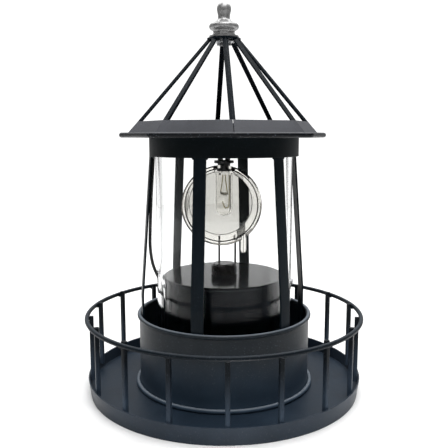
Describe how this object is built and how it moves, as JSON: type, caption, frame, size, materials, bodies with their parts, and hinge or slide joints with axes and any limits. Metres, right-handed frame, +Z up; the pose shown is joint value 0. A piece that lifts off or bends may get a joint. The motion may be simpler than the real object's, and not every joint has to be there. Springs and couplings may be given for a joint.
{
  "type": "solar garden light",
  "caption": "Solar garden light shaped as a lighthouse lantern: open ribbed roof with finial, clear tube with a rotating lens and bulb, drum base, dished deck and railing.",
  "frame": {"origin": "middle of the underside, on the surface that the light stands on", "axes": "+Z up along the tower's axis, -Y the front, +X to the right seen from the front"},
  "size_m": [0.165, 0.165, 0.2251],
  "materials": {
    "black_powder_coat": "semi-gloss black powder coat on sheet steel",
    "silver_paint": "silver paint, satin",
    "gloss_black": "polished black",
    "black_plastic": "fine matt moulding",
    "hub_plastic": "semi-gloss moulding",
    "white_plastic": "natural acetal",
    "clear_acrylic": "clear polished tube",
    "clear_lens": "clear moulded plastic",
    "tinted_lens": "faintly smoked clear plastic",
    "bulb_glass": "clear bulb glass",
    "filament_wire": "dull wire",
    "black_wire": "blackened wire",
    "plated_steel": "zinc plated",
    "brass": "turned",
    "solar_glass": "dark cells under clear laminate",
    "battery_wrap": "shrink wrap",
    "board_green": "solder resist",
    "black_lead": "soft PVC sheath"
  },
  "bodies": {
    "root": {"tray": "black_powder_coat", "handrail": "black_powder_coat", "base_ring": "black_powder_coat", "cage_collar": "black_powder_coat", "roof_skirt": "black_powder_coat", "roof_ribs": "black_powder_coat", "roof_hub": "black_powder_coat", "roof_deck": "black_plastic", "solar_panel": "solar_glass", "finial": "silver_paint", "finial_nut": "plated_steel", "bulb_socket": "black_plastic", "bulb_glass": "bulb_glass", "bulb_filament": "filament_wire", "glass_tube": "clear_acrylic", "drum_housing": "gloss_black", "drum_lid": "gloss_black", "drum_base": "black_plastic", "gear_deck": "white_plastic", "gear_motor": "plated_steel", "battery_cell": "battery_wrap", "battery_contacts": "plated_steel", "switch_body": "black_plastic", "circuit_board": "board_green", "panel_lead": "black_lead", "screws": "plated_steel", "cage_post_1": "black_powder_coat", "cage_post_2": "black_powder_coat", "cage_post_3": "black_powder_coat", "cage_post_4": "black_powder_coat", "cage_post_5": "black_powder_coat", "cage_post_6": "black_powder_coat", "baluster_01": "black_powder_coat", "baluster_02": "black_powder_coat", "baluster_03": "black_powder_coat", "baluster_04": "black_powder_coat", "baluster_05": "black_powder_coat", "baluster_06": "black_powder_coat", "baluster_07": "black_powder_coat", "baluster_08": "black_powder_coat", "baluster_09": "black_powder_coat", "baluster_10": "black_powder_coat", "baluster_11": "black_powder_coat", "baluster_12": "black_powder_coat", "baluster_13": "black_powder_coat", "baluster_14": "black_powder_coat", "baluster_15": "black_powder_coat", "baluster_16": "black_powder_coat", "baluster_17": "black_powder_coat", "baluster_18": "black_powder_coat"},
    "optic": {"output_gear": "white_plastic", "turntable_hub": "hub_plastic", "lens_rods": "black_wire", "lens_ring": "clear_lens", "lens_disc": "tinted_lens"},
    "pinion": {"drive_pinion": "brass"},
    "cap": {"battery_cap": "black_plastic"},
    "slider": {"switch_slider": "white_plastic"}
  },
  "joints": [
    {"name": "optic_spin", "type": "hinge", "parent": "root", "child": "optic", "pos_m": [0, 0, 0.07], "axis": [0, 0, 1], "continuous": true},
    {"name": "pinion_spin", "type": "hinge", "parent": "root", "child": "pinion", "pos_m": [0.0181, 0, 0.052], "axis": [0, 0, 1], "continuous": true},
    {"name": "cap_turn", "type": "hinge", "parent": "root", "child": "cap", "pos_m": [-0.0039, 0.022, 0.004], "axis": [0, 0, 1], "range_deg": [-60, 0]},
    {"name": "switch_slide", "type": "slide", "parent": "root", "child": "slider", "axis": [1, 0, 0], "range_m": [0, 0.003]}
  ],
  "couplings": [
    {"joint": "pinion_spin", "follows": "optic_spin", "ratio": -2}
  ]
}
